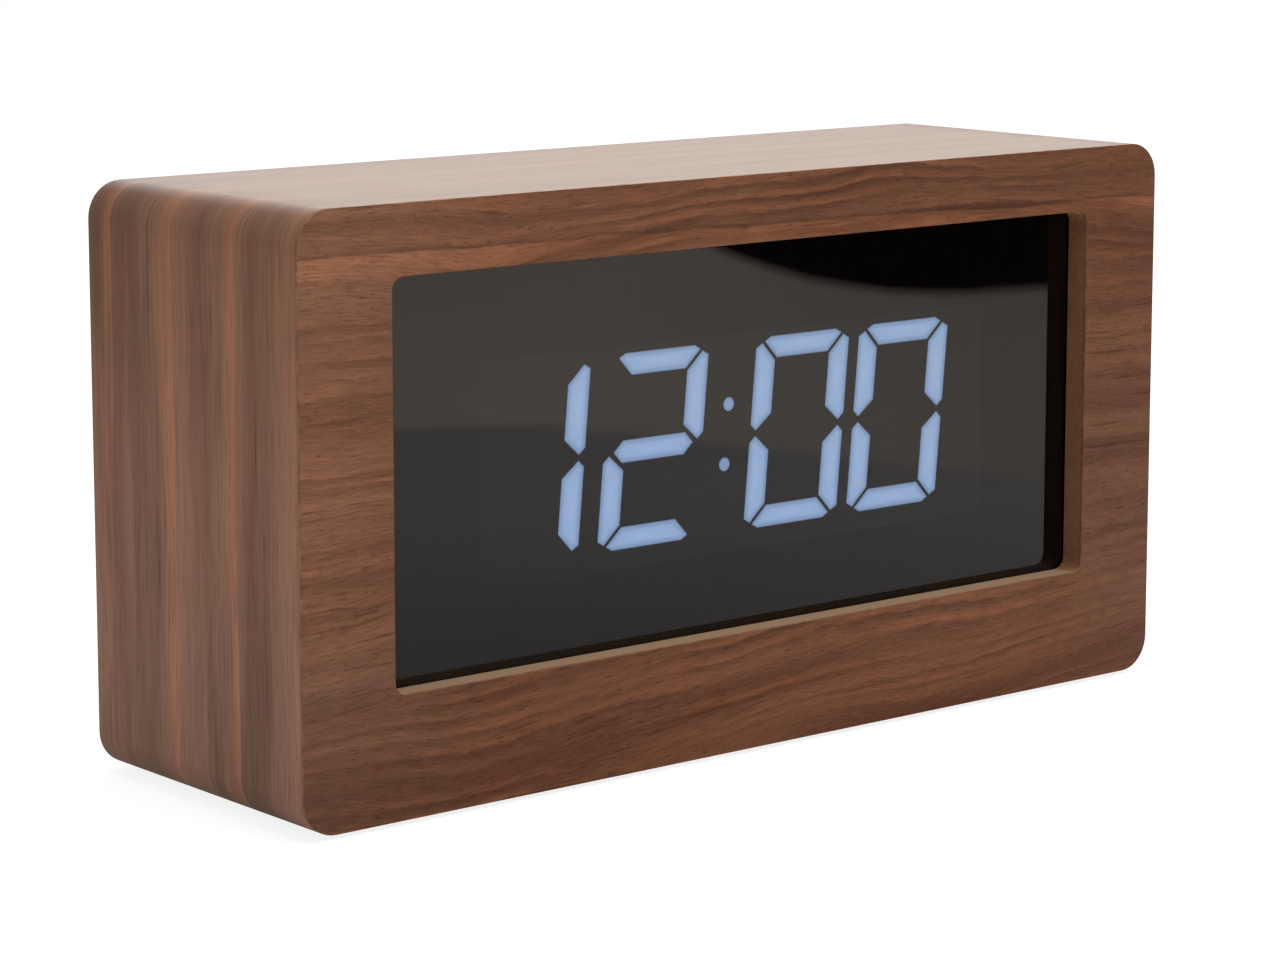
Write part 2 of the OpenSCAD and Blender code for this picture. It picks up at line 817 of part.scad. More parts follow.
// Rear cover: a moulded panel with ribs, posts, a sunk field for the keys, vents and the battery bay
module rear_cover() {
  w = in_w - 2 * cover_gap;
  h = in_h - 2 * cover_gap;
  corner_r = 1;
  rib_t = 1.6;
  rib_h = 5;
  rib_gap = 2;
  rib_x = in_w / 2 - block_w - rib_gap;
  rib_z = in_h / 2 - block_w - rib_gap;
  key_hole = key_d + 2 * key_gap;
  countersink = screw_d / 2 + 0.1;
  color(black) difference() {
    union() {
      translate([0, 0, z_mid]) slab(y_inner, y_cover) rounded(w, h, corner_r);
      translate([bay_x, 0, bay_z]) slab(y_bay - bay_wall, y_inner + cut)
        square([bay_w + 2 * bay_wall, bay_h + 2 * bay_wall], center = true);
      translate([main_x, 0, z_mid]) four(boss_x, boss_z) rod(post_d, y_main, y_inner + cut);
      for (s = [-1, 1]) {
        translate([0, 0, z_mid + s * (h / 2 - rib_t)]) slab(y_inner - rib_h, y_inner + cut)
          square([2 * rib_x, rib_t], center = true);
        translate([s * (w / 2 - rib_t), 0, z_mid]) slab(y_inner - rib_h, y_inner + cut)
          square([rib_t, 2 * rib_z], center = true);
      }
    }
    translate([bay_x, 0, bay_z]) slab(y_bay, y_cover) square([bay_w, bay_h], center = true);
    door_room();
    translate([key_x(2), 0, key_z]) slab(y_field, y_cover + cut)
      stadium(4 * key_pitch + key_d + 2 * field_rim, key_d + 2 * field_rim);
    for (k = [0 : 4]) translate([key_x(k), 0, key_z]) {
      rod(key_hole, y_inner - cut, y_cover + cut);
      cone(key_hole, key_hole + 2 * key_bevel, y_field - key_bevel, y_field);
    }
    sound_slots();
    vents();
    translate([socket_x, 0, socket_z]) {
      slab(y_inner - cut, y_cover + cut) stadium(socket_w + 2 * cover_gap, socket_h + 2 * cover_gap);
      slab(y_cover - socket_sink, y_cover + cut)
        stadium(socket_w + 2 * socket_rim, socket_h + 2 * socket_rim);
    }
    translate([main_x, 0, z_mid]) four(boss_x, boss_z)
      rod(small_screw_d + 2 * pilot_gap, y_main - cut, y_inner - hole_floor);
    translate([0, 0, z_mid]) four((in_w - block_w) / 2, (in_h - block_w) / 2) {
      rod(screw_d + 2 * hole_gap, y_inner - cut, y_cover + cut);
      cone(screw_d + 2 * hole_gap, 2 * (screw_d + hole_gap), y_cover - countersink, y_cover);
    }
  }
}

// Slots over the buzzer, shorter towards the top and the bottom
module sound_slots() {
  slots = 5;
  slot_pitch = 3.2;
  slot_w = 1.6;
  slot_l = 14;
  slot_step = 2;
  translate([buzzer_x, 0, buzzer_z]) for (i = [0 : slots - 1]) let (row = i - (slots - 1) / 2)
    translate([0, 0, row * slot_pitch]) slab(y_inner - cut, y_cover + cut)
      stadium(slot_l - slot_step * abs(row), slot_w);
}

// Row of upright vents near the top of the cover
module vents() {
  vent_n = 13;
  vent_pitch = 5;
  vent_w = 1.8;
  vent_h = 8;
  vent_drop = 12;
  translate([0, 0, z_mid + in_h / 2 - vent_drop]) for (i = [0 : vent_n - 1])
    translate([(i - (vent_n - 1) / 2) * vent_pitch, 0, 0]) slab(y_inner - cut, y_cover + cut)
      rotate(90) stadium(vent_h, vent_w);
}

// Room in the cover for the door: its seat, the pockets behind its hooks and a finger scoop
module door_room() {
  translate([bay_x, 0, (door_top + door_low) / 2]) slab(y_seat, y_cover + cut)
    square([door_w + 2 * door_gap, door_top - door_low + 2 * door_gap], center = true);
  for (s = [-1, 1]) translate([bay_x + s * hook_x, 0, 0]) {
    slab(y_inner - cut, y_cover) translate([-hook_w / 2 - hook_gap, bay_top - hook_lead])
      square([hook_w + 2 * hook_gap, hook_lead + door_lap + door_gap]);
    slab(y_inner - hook_sweep, y_inner) translate([-hook_w / 2 - hook_gap, bay_top - hook_lead])
      square([hook_w + 2 * hook_gap, hook_lead + door_lap + hook_reach + hook_gap]);
  }
  translate([bay_x, 0, door_low]) rod(2 * scoop_r, y_cover - door_t, y_cover + cut);
}

module cover_screws() {
  head = screw_d / 2;
  slot = screw_d * 0.22;
  color(steel) translate([0, 0, z_mid]) four((in_w - block_w) / 2, (in_h - block_w) / 2) difference() {
    union() {
      rod(screw_d, y_cover - screw_l, y_cover - head);
      cone(screw_d, 2 * screw_d, y_cover - head, y_cover);
    }
    for (turn = [0, 90]) rotate([0, turn, 0]) translate([-screw_d * 0.6, y_cover - head * 0.8, -slot / 2])
      cube([screw_d * 1.2, head, slot]);
  }
}

// Battery door: it turns on its round top edge, which two hooks hold behind the cover
module battery_door() {
  grips = 3;
  color(black) difference() {
    union() {
      cross_slab(bay_x - door_w / 2, bay_x + door_w / 2) {
        translate([y_cover - door_t, door_low]) square([door_t, hinge_z - door_low]);
        translate([hinge_y, hinge_z]) circle(d = door_t);
      }
      for (s = [-1, 1]) cross_slab(bay_x + s * hook_x - hook_w / 2, bay_x + s * hook_x + hook_w / 2) {
        translate([y_hook, hook_low]) square([hinge_y - y_hook, door_top - hook_drop - hook_low]);
        translate([y_hook, hook_low]) square([hook_t, door_top + hook_reach - hook_low]);
      }
      for (i = [0 : grips - 1])
        translate([bay_x - latch_w / 2 + grip_inset, y_cover, door_low + grip_inset + i * grip_pitch])
          rotate([0, 90, 0]) cylinder(r = grip_r, h = latch_w - 2 * grip_inset);
    }
    for (s = [-1, 1]) translate([bay_x + s * latch_w / 2, 0, door_low])
      slab(y_cover - door_t - cut, y_cover + cut) translate([-latch_slot / 2, -cut])
        square([latch_slot, latch_l + cut]);
  }
}

// Cells lie head to foot, each between its spring and its contact
module at_cell(i) {
  turn = i % 2 == 0 ? 0 : 180;
  translate([bay_x, y_cell, bay_top - (i + 0.5) * cell_pitch]) rotate([0, turn, 0]) children();
}

module backup_cells() {
  color([0.3, 0.32, 0.36]) for (i = [0 : cells - 1]) at_cell(i)
    translate([spring_room - bay_w / 2, 0, 0]) rotate([0, 90, 0]) rotate_extrude() {
      square([cell_d / 2 - cell_step, cell_l - nub_l]);
      translate([0, cell_step]) square([cell_d / 2, cell_l - nub_l - 2 * cell_step]);
      square([nub_d / 2, cell_l]);
    }
}

// Folded leaf springs at the feet of the cells
module cell_springs() {
  reach = spring_room - touch_gap;
  color(steel) for (i = [0 : cells - 1]) at_cell(i) translate([-bay_w / 2, 0, -contact_w / 2])
    linear_extrude(contact_w) {
      translate([0, -contact_w / 2]) square([contact_t, contact_w]);
      polygon([[0, contact_w / 2], [contact_t, contact_w / 2],
               [reach, spring_nose], [reach, -spring_nose],
               [contact_t * 3, contact_t - contact_w / 2], [contact_t * 2, 2 * contact_t - contact_w / 2],
               [reach - contact_t, 0], [contact_t, contact_w / 2 - 2 * contact_t]]);
    }
}

module cell_contacts() {
  color(steel) for (i = [0 : cells - 1]) at_cell(i) translate([bay_w / 2, 0, 0]) {
    translate([-contact_t, -contact_w / 2, -contact_w / 2]) cube([contact_t, contact_w, contact_w]);
    translate([touch_gap - contact_room, 0, 0]) rotate([0, 90, 0])
      cylinder(d = contact_d, h = contact_room - 2 * touch_gap);
  }
}

// Leads from the bay's wall to the main board, swept along their own points
module battery_leads() {
  x0 = bay_x - bay_w / 2 - bay_wall;
  x1 = main_x + main_w / 2 - lead_inset;
  high = y_main + lead_rise;
  sides = 8;
  route = [[x0 - touch_gap, high], [x0 - lead_bend, high], [(x0 + x1) / 2, high + lead_sag],
           [x1 + lead_bend, high], [x1 + lead_foot, high - lead_foot], [x1, y_main + lead_foot], [x1, y_main]];
  last = len(route) - 1;
  function heading(i) = route[min(i + 1, last)] - route[max(i - 1, 0)];
  function ring(i) = let (h = heading(i) / norm(heading(i)))
    [for (s = [0 : sides - 1]) let (a = 360 * s / sides)
      [route[i][0] - h[1] * cos(a) * lead_d / 2, route[i][1] + h[0] * cos(a) * lead_d / 2,
       sin(a) * lead_d / 2]];
  points = [for (i = [0 : last]) each ring(i)];
  walls = [for (i = [0 : last - 1], s = [0 : sides - 1]) let (n = (s + 1) % sides)
    each [[i * sides + s, i * sides + n, (i + 1) * sides + n],
          [i * sides + s, (i + 1) * sides + n, (i + 1) * sides + s]]];
  ends = [[for (s = [sides - 1 : -1 : 0]) s], [for (s = [0 : sides - 1]) last * sides + s]];
  color([0.6, 0.1, 0.1]) for (s = [-1, 1]) translate([0, 0, z_mid + s * lead_spread / 2])
    polyhedron(points, concat(walls, ends));
}

top_board();
bottom_board();
left_board();
right_board();
wrap_veneer();
corner_blocks();
feet();
front_board();
front_veneer();
lens_tape();
lens();
display_carrier();
carrier_screws();
light_box();
lit_segments();
dark_segments();
colon_dots();
led_chips();
display_board();
driver_chip();
display_screws();
display_socket();
ribbon_cable();
main_socket();
main_board();
main_screws();
controller();
crystal();
capacitor();
buzzer();
power_socket();
power_tongue();
switch_housings();
plunger(0);  // set_plunger
plunger(1);  // alarm_plunger
plunger(2);  // up_plunger
plunger(3);  // down_plunger
plunger(4);  // light_plunger
key(0);  // set_key
key(1);  // alarm_key
key(2);  // up_key
key(3);  // down_key
key(4);  // light_key
rear_cover();
cover_screws();
battery_door();
backup_cells();
cell_springs();
cell_contacts();
battery_leads();
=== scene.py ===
import math

import bmesh
import bpy
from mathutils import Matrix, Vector


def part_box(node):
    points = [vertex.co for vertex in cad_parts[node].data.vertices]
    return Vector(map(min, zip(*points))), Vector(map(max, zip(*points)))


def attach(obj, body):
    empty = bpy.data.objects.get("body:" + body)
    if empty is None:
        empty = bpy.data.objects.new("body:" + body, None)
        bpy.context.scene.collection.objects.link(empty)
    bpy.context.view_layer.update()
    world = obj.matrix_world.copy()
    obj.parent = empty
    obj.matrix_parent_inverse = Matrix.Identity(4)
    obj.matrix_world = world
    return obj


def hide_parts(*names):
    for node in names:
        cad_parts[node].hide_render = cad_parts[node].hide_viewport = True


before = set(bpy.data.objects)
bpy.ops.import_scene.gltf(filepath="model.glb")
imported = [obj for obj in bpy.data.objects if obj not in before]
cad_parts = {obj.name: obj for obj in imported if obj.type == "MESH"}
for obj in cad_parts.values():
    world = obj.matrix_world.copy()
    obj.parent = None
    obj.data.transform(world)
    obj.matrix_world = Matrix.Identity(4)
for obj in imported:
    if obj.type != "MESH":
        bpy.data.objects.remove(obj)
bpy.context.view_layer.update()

# Case boards
# Four lengths of fibreboard are mitred at the corners and glued into a ring, with a glue block in
# each corner. Only their sawn back edges show, sealed but not veneered.
MM = 0.001
DUST_SCALE = 1700
CLUMP_SCALE = 260


def wire(tree, kind, inputs, **settings):
    """Adds a shader node, sets it up, and joins or fills its inputs."""
    made = tree.nodes.new("ShaderNode" + kind)
    for name, value in settings.items():
        setattr(made, name, value)
    for key, value in inputs.items():
        if isinstance(value, bpy.types.NodeSocket):
            tree.links.new(value, made.inputs[key])
        else:
            made.inputs[key].default_value = value
    return made


def calc(tree, operation, *values):
    return wire(tree, "Math", dict(enumerate(values)), operation=operation).outputs[0]


def noise(tree, place, scale, detail=2.0, roughness=0.5):
    sockets = {"Vector": place, "Scale": scale, "Detail": detail, "Roughness": roughness}
    return wire(tree, "TexNoise", sockets).outputs["Fac"]


def span(tree, value, low, high, to_low=0.0, to_high=1.0, way="LINEAR"):
    """Maps a value from one range to another, held at both ends."""
    sockets = {"Value": value, "From Min": low, "From Max": high, "To Min": to_low, "To Max": to_high}
    return wire(tree, "MapRange", sockets, interpolation_type=way).outputs["Result"]


def mixed(tree, mask, first, second, way="MIX"):
    return wire(tree, "Mix", {0: mask, 6: first, 7: second}, data_type="RGBA", blend_type=way).outputs[2]


def bump(tree, height, strength, depth):
    return wire(tree, "Bump", {"Height": height, "Strength": strength, "Distance": depth}).outputs["Normal"]


def tone(red, green, blue):
    """A screen colour from 0 to 255 as the linear colour that a socket takes."""
    parts = [c / 255 for c in (red, green, blue)]
    return (*(c / 12.92 if c <= 0.04045 else ((c + 0.055) / 1.055) ** 2.4 for c in parts), 1.0)


def start_finish(name):
    """A material with its tree, its shader and the Object coordinates."""
    finish = bpy.data.materials.new(name)
    finish.use_nodes = True
    tree = finish.node_tree
    return finish, tree, tree.nodes["Principled BSDF"].inputs, wire(tree, "TexCoord", {}).outputs["Object"]


def dress(finish, *names):
    for name in names:
        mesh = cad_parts[name].data
        mesh.materials.clear()
        mesh.materials.append(finish)


fibreboard, tree, shader, place = start_finish("fibreboard")
dust = noise(tree, place, DUST_SCALE, 3.0, 0.6)
clumps = noise(tree, place, CLUMP_SCALE, 2.0)
pale = mixed(tree, span(tree, dust, 0.34, 0.66), tone(108, 70, 44), tone(132, 89, 60))
clumped = span(tree, clumps, 0.4, 0.75, 0.0, 0.45)
tree.links.new(mixed(tree, clumped, pale, tone(97, 60, 36)), shader["Base Color"])
shader["IOR"].default_value = 1.2
shader["Sheen Weight"].default_value = 1.0
shader["Sheen Roughness"].default_value = 0.4
shader["Sheen Tint"].default_value = (1.0, 0.8, 0.56, 1.0)
tree.links.new(span(tree, dust, 0.3, 0.7, 0.4, 0.52), shader["Roughness"])
tree.links.new(bump(tree, dust, 0.25, 0.15 * MM), shader["Normal"])
dress(fibreboard, "top_board", "bottom_board", "left_board", "right_board", "corner_blocks")

# Wrap veneer
# One sheet of walnut, 0.6 mm thick, is pressed round the ring of boards with its grain along the
# girth, so the stripes climb the sides and turn over the rounded edges. Satin lacquer covers it.
VENEER = 0.6 * MM
EDGE_R = 8 * MM
ARRIS = 0.16 * MM
SHARP = math.radians(50)
SHEET_SHIFT = 12 * MM
case_low, case_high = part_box("wrap_veneer")
case_mid_z = (case_low.z + case_high.z) / 2
case_half_w = (case_high.x - case_low.x) / 2
case_half_h = (case_high.z - case_low.z) / 2
outer_rim = (case_half_w, case_half_h, case_mid_z, EDGE_R)
inner_rim = (case_half_w - VENEER, case_half_h - VENEER, case_mid_z, EDGE_R - VENEER)


def rounded_rim(bm, half_w, half_h, mid_z, radius, y):
    """Edges of an upright rectangle with round corners."""
    before = set(bm.edges)
    corners = [bm.verts.new((sx * half_w, y, mid_z + sz * half_h))
               for sx, sz in ((-1, -1), (1, -1), (1, 1), (-1, 1))]
    bm.faces.new(corners)
    bmesh.ops.bevel(bm, geom=corners, offset=radius, offset_type="OFFSET", segments=10, profile=0.5,
                    affect="VERTICES", material=-1)
    bmesh.ops.delete(bm, geom=bm.faces[:], context="FACES_ONLY")
    return [edge for edge in bm.edges if edge not in before]


def ease(bm, width):
    """Rounds every edge that turns sharply."""
    sharp = [edge for edge in bm.edges if edge.is_manifold and edge.calc_face_angle() > SHARP]
    bmesh.ops.bevel(bm, geom=sharp, offset=width, offset_type="OFFSET", segments=2, profile=0.5,
                    affect="EDGES", clamp_overlap=True, material=-1)


def ring_sheet(outer, inner, front, back):
    """A flat sheet between two rounded rims, with its sharp edges eased."""
    bm = bmesh.new()
    rims = rounded_rim(bm, *outer, front) + rounded_rim(bm, *inner, front)
    bmesh.ops.bridge_loops(bm, edges=rims)
    grown = bmesh.ops.extrude_face_region(bm, geom=bm.faces[:])["geom"]
    raised = [part for part in grown if isinstance(part, bmesh.types.BMVert)]
    bmesh.ops.translate(bm, verts=raised, vec=(0, back - front, 0))
    bmesh.ops.recalc_face_normals(bm, faces=bm.faces[:])
    ease(bm, ARRIS)
    return bm


def add_piece(bm, name, finishes, body="case", stands_for=()):
    """Makes the mesh a piece that rides on a body and stands for its CAD nodes."""
    mesh = bpy.data.meshes.new(name)
    bm.to_mesh(mesh)
    bm.free()
    for polygon in mesh.polygons:
        polygon.use_smooth = True
    mesh.set_sharp_from_angle(angle=math.radians(40))
    for finish in finishes:
        mesh.materials.append(finish)
    piece = bpy.data.objects.new(name, mesh)
    bpy.context.scene.collection.objects.link(piece)
    piece.modifiers.new("even_normals", "WEIGHTED_NORMAL").keep_sharp = True
    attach(piece, body)
    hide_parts(*stands_for)


def girth(x, z):
    """Distance round the case from the middle of its top, to the right."""
    across, up = abs(x), abs(z - case_mid_z)
    flat_w, flat_h = case_half_w - EDGE_R, case_half_h - EDGE_R
    turn = EDGE_R * math.pi / 2
    if across <= flat_w:
        run = across
    elif up <= flat_h:
        run = flat_w + turn + flat_h - up
    else:
        run = flat_w + EDGE_R * math.atan2(across - flat_w, up - flat_h)
    return run if z >= case_mid_z else 2 * (flat_w + turn + flat_h) - run


def make_walnut():
    """Walnut figure in millimetres: growth rings, dark streaks, fibres and pores."""
    group = bpy.data.node_groups.new("walnut_figure", "ShaderNodeTree")
    for name in ("Along", "Across", "Seed", "Wave", "Band", "Spread", "Run", "Fade", "Early", "Late",
                 "Streak", "Fibre", "Grain"):
        group.interface.new_socket(name, in_out="INPUT", socket_type="NodeSocketFloat")
    for name in ("Dark", "Middle", "Light"):
        group.interface.new_socket(name, in_out="INPUT", socket_type="NodeSocketColor")
    group.interface.new_socket("Colour", in_out="OUTPUT", socket_type="NodeSocketColor")
    group.interface.new_socket("Gloss", in_out="OUTPUT", socket_type="NodeSocketFloat")
    group.interface.new_socket("Height", in_out="OUTPUT", socket_type="NodeSocketFloat")
    given = group.nodes.new("NodeGroupInput").outputs
    result = group.nodes.new("NodeGroupOutput").inputs

    def figure(across, long, wide, offset, detail):
        """Noise stretched along the grain: long and wide are its size in millimetres."""
        spot = wire(group, "CombineXYZ", {0: calc(group, "DIVIDE", given["Along"], long),
                                          1: calc(group, "DIVIDE", across, wide),
                                          2: calc(group, "ADD", given["Seed"], offset)}).outputs[0]
        return noise(group, spot, 1.0, detail, 0.55)

    def soft(value, low, high, to_low=0.0, to_high=1.0):
        return span(group, value, low, high, to_low, to_high, "SMOOTHSTEP")

    def times(first, second):
        return calc(group, "MULTIPLY", first, second)

    def sway(amount, long, wide, offset):
        """Bends the grain sideways by a share of the wave."""
        centred = calc(group, "SUBTRACT", figure(given["Across"], long, wide, offset, 1.0), 0.5)
        return times(centred, times(given["Wave"], amount))

    # Broad bands of darker and paler heartwood
    drift = calc(group, "ADD", sway(1.0, 110.0, 45.0, 0.0), sway(0.12, 30.0, 14.0, 5.0))
    bent = calc(group, "ADD", given["Across"], drift)
    broad = figure(bent, long=200.0, wide=14.0, offset=3.0, detail=2.0)
    colour = mixed(group, soft(broad, 0.32, 0.64), given["Dark"], given["Middle"])

    # Growth rings, each with a crisp start, pale early wood that fades, and darker late wood
    ragged = calc(group, "ADD", bent, sway(0.07, 8.0, 2.0, 8.0))
    spacing = figure(bent, long=260.0, wide=times(given["Band"], 3.0), offset=1.0, detail=1.0)
    count = calc(group, "DIVIDE", ragged, given["Band"])
    ring = calc(group, "FRACT", calc(group, "MULTIPLY_ADD", spacing, given["Spread"], count))
    patch = soft(figure(bent, long=given["Run"], wide=10.0, offset=13.0, detail=2.0), 0.38, 0.62, 0.15, 1.0)
    strand = soft(figure(bent, long=given["Streak"], wide=1.4, offset=15.0, detail=2.0), 0.34, 0.6, 0.35, 1.0)
    early = times(soft(ring, 0.0, 0.08), soft(ring, 0.05, given["Fade"], 1.0, 0.0))
    early = times(times(early, strand), times(patch, given["Early"]))
    colour = mixed(group, early, colour, given["Light"])
    late = times(soft(ring, 0.3, 0.9), soft(ring, 0.9, 1.0, 1.0, 0.0))
    late = times(late, times(patch, given["Late"]))

    # Dark streaks in clusters, joined with the late wood
    cluster = soft(figure(bent, long=70.0, wide=8.0, offset=7.0, detail=1.0), 0.4, 0.62, 0.1, 1.0)
    growth = soft(figure(bent, long=given["Streak"], wide=1.0, offset=9.0, detail=2.0), 0.5, 0.74, 0.0, 0.7)
    streak = calc(group, "MAXIMUM", times(growth, cluster), late)
    stained = mixed(group, 1.0, colour, (0.45, 0.41, 0.4, 1.0), "MULTIPLY")
    colour = mixed(group, streak, colour, stained)

    # Fibres and open pores
    fibre = figure(bent, long=given["Fibre"], wide=0.55, offset=2.0, detail=3.0)
    lift = calc(group, "MULTIPLY_ADD", calc(group, "SUBTRACT", fibre, 0.5), given["Grain"], 1.0)
    shade = wire(group, "CombineColor", {i: lift for i in range(3)}).outputs[0]
    colour = mixed(group, 1.0, colour, shade, "MULTIPLY")
    pore = soft(figure(bent, long=times(given["Fibre"], 0.45), wide=0.3, offset=4.0, detail=1.0), 0.56, 0.74)
    dark_pore = mixed(group, 1.0, colour, (0.63, 0.6, 0.59, 1.0), "MULTIPLY")
    group.links.new(mixed(group, pore, colour, dark_pore), result["Colour"])
    group.links.new(span(group, fibre, 0.25, 0.75, 0.34, 0.44), result["Gloss"])
    group.links.new(calc(group, "SUBTRACT", times(fibre, 0.4), pore), result["Height"])
    return group


walnut = make_walnut()


def start_walnut(name, along, across, tree, shader, **settings):
    """Places the walnut figure in a finish, joins its gloss and relief, and gives its colour."""
    inputs = {key.capitalize(): value for key, value in settings.items()}
    inputs["Along"] = calc(tree, "MULTIPLY", along, 1 / MM)
    inputs["Across"] = calc(tree, "MULTIPLY", across, 1 / MM)
    figure = wire(tree, "Group", inputs, node_tree=walnut, label=name).outputs
    shader["IOR"].default_value = 1.2
    tree.links.new(figure["Gloss"], shader["Roughness"])
    tree.links.new(bump(tree, figure["Height"], 0.3, 0.08 * MM), shader["Normal"])
    return figure["Colour"]


wrap_walnut, tree, shader, _ = start_finish("wrap_walnut")
sheet = wire(tree, "SeparateXYZ", {0: wire(tree, "UVMap", {}, uv_map="grain").outputs[0]}).outputs
across = calc(tree, "SUBTRACT", sheet[1], SHEET_SHIFT)
veneer_colour = start_walnut(
    "wrap", sheet[0], across, tree, shader, seed=3.0, wave=5.0, band=22.0, spread=0.6, run=260.0, fade=0.35,
    early=0.9, late=0.15, streak=60.0, fibre=26.0, grain=0.95,
    dark=tone(116, 84, 66), middle=tone(147, 109, 87), light=tone(172, 115, 86))

# Going round from the middle of the top, the colour is painted for how the light falls on it: the
# top is painted a calm, plain tone that stands in for the glare that hides its figure, the rounded
# edge is dark with painted shade, and the sides turn from warm to cool on their way down, with
# painted shade high up and painted light low down.
around = calc(tree, "ABSOLUTE", sheet[0])
# The sides are painted darker and warmer high up and cooler low down: painted shade and painted light.
painted_side_high = span(tree, around, 130 * MM, 180 * MM)
painted_side_low = span(tree, around, 180 * MM, 240 * MM)
# The rounded edge is painted darker: painted shade that tones down its highlight.
painted_shade_edge_start = span(tree, around, 100 * MM, 116 * MM)
painted_shade_edge_end = span(tree, around, 122 * MM, 132 * MM, 1.0, 0.0)
# The top is mixed towards a plain, calmer tone: a painted stand-in for the glare that hides its figure.
painted_top_calm = span(tree, around, 108 * MM, 118 * MM, 0.6, 0.0)
tint = mixed(tree, painted_side_high, (0.87, 0.78, 0.69, 1.0), (1.05, 1.01, 0.98, 1.0))
tint = mixed(tree, painted_side_low, tint, (1.03, 1.05, 1.1, 1.0))
tint = mixed(tree, calc(tree, "MULTIPLY", painted_shade_edge_start, painted_shade_edge_end), tint, (0.64, 0.57, 0.48, 1.0))
veneer_colour = mixed(tree, 1.0, veneer_colour, tint, "MULTIPLY")
tree.links.new(mixed(tree, painted_top_calm, veneer_colour, tone(118, 98, 78)), shader["Base Color"])

bm = ring_sheet(outer_rim, inner_rim, case_low.y, case_high.y)
bmesh.ops.bisect_plane(bm, geom=bm.verts[:] + bm.edges[:] + bm.faces[:], dist=1e-6,
                       plane_co=(0, 0, 0), plane_no=(1, 0, 0))
grain = bm.loops.layers.uv.new("grain")
for face in bm.faces:
    side = math.copysign(1, face.calc_center_median().x)
    for loop in face.loops:
        loop[grain].uv = (side * girth(loop.vert.co.x, loop.vert.co.z), loop.vert.co.y)
add_piece(bm, "wrap_sheet", [wrap_walnut], stands_for=["wrap_veneer"])

# Feet
# Four round pads of matt rubber, 1 mm thick, are stuck under the case. Their edges are eased by
# the punch that cuts them.
FOOT_EASE = 0.2 * MM


def merged_copy(*names):
    """The merged meshes of CAD nodes, with flat stretches made whole."""
    bm = bmesh.new()
    for name in names:
        bm.from_mesh(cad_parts[name].data)
    bmesh.ops.remove_doubles(bm, verts=bm.verts[:], dist=1e-6)
    bmesh.ops.dissolve_limit(bm, angle_limit=math.radians(0.5), verts=bm.verts[:], edges=bm.edges[:])
    return bm


def make_moulded():
    """Fine grain of a moulded surface, with broad patches of more and less sheen."""
    group = bpy.data.node_groups.new("moulded_grain", "ShaderNodeTree")
    group.interface.new_socket("Place", in_out="INPUT", socket_type="NodeSocketVector")
    group.interface.new_socket("Size", in_out="INPUT", socket_type="NodeSocketFloat")
    for name in ("Height", "Sheen"):
        group.interface.new_socket(name, in_out="OUTPUT", socket_type="NodeSocketFloat")
    given = group.nodes.new("NodeGroupInput").outputs
    result = group.nodes.new("NodeGroupOutput").inputs
    pits = noise(group, given["Place"], calc(group, "DIVIDE", 1 / MM, given["Size"]), 2.0, 0.6)
    patches = noise(group, given["Place"], 45.0, 2.0)
    group.links.new(pits, result["Height"])
    both = calc(group, "ADD", calc(group, "MULTIPLY", pits, 0.5), calc(group, "MULTIPLY", patches, 0.5))
    group.links.new(both, result["Sheen"])
    return group


moulded = make_moulded()


def start_moulded(name, size, depth, dark, light, smooth, rough):
    """A moulded finish: grain size in millimetres, two close colours and a range of roughness."""
    finish, tree, shader, place = start_finish(name)
    grain = wire(tree, "Group", {"Place": place, "Size": size}, node_tree=moulded).outputs
    sheen = grain["Sheen"]
    tree.links.new(mixed(tree, span(tree, sheen, 0.35, 0.65), dark, light), shader["Base Color"])
    tree.links.new(span(tree, sheen, 0.35, 0.65, smooth, rough), shader["Roughness"])
    tree.links.new(bump(tree, grain["Height"], depth, 0.08 * MM), shader["Normal"])
    return finish


foot_rubber = start_moulded("foot_rubber", 0.5, 0.5, tone(30, 30, 31), tone(44, 43, 42), 0.75, 0.9)
bm = merged_copy("feet")
ease(bm, FOOT_EASE)
add_piece(bm, "foot_pads", [foot_rubber], stands_for=["feet"])

# Front board and front veneer
# A fibreboard panel with the window cut through closes the ring, and its own sheet of walnut with
# level grain covers the front. The cut edge of that sheet is painted pale, a painted highlight that
# shows as a pale line round the case.
WINDOW_R = 3 * MM
LENS_LAP = 5 * MM
FLAME_Z = 118.7 * MM
FLAME_FALL = -0.012
front_low, front_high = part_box("front_veneer")
lens_low, lens_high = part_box("lens")
window_rim = ((lens_high.x - lens_low.x) / 2 - LENS_LAP, (lens_high.z - lens_low.z) / 2 - LENS_LAP,
              (lens_high.z + lens_low.z) / 2, WINDOW_R)
dress(fibreboard, "front_board")


def tinted(tree, mask, colour, tint):
    """Multiplies a colour by a tint where the mask is 1."""
    return mixed(tree, mask, colour, mixed(tree, 1.0, colour, tint, "MULTIPLY"))


front_walnut, tree, shader, place = start_finish("front_walnut")
spot = wire(tree, "SeparateXYZ", {0: place}).outputs
lean = calc(tree, "MULTIPLY", spot[0], span(tree, spot[2], 0.0, 70 * MM, 0.07, 0.0))
calm_left = span(tree, spot[0], -110 * MM, -30 * MM, 0.5, 1.0)
calm_right = span(tree, spot[0], 70 * MM, 100 * MM, 1.0, 0.45)
rings = calc(tree, "MULTIPLY", calm_left, calm_right)
veneer_colour = start_walnut(
    "front", spot[0], calc(tree, "SUBTRACT", spot[2], lean), tree, shader, seed=11.0, wave=22.0, band=4.4,
    spread=3.0, run=60.0, fade=0.6, early=calc(tree, "MULTIPLY", rings, 0.5),
    late=calc(tree, "MULTIPLY", rings, 0.6), streak=20.0, fibre=6.0, grain=0.9,
    dark=tone(98, 62, 43), middle=tone(118, 78, 56), light=tone(145, 91, 62))

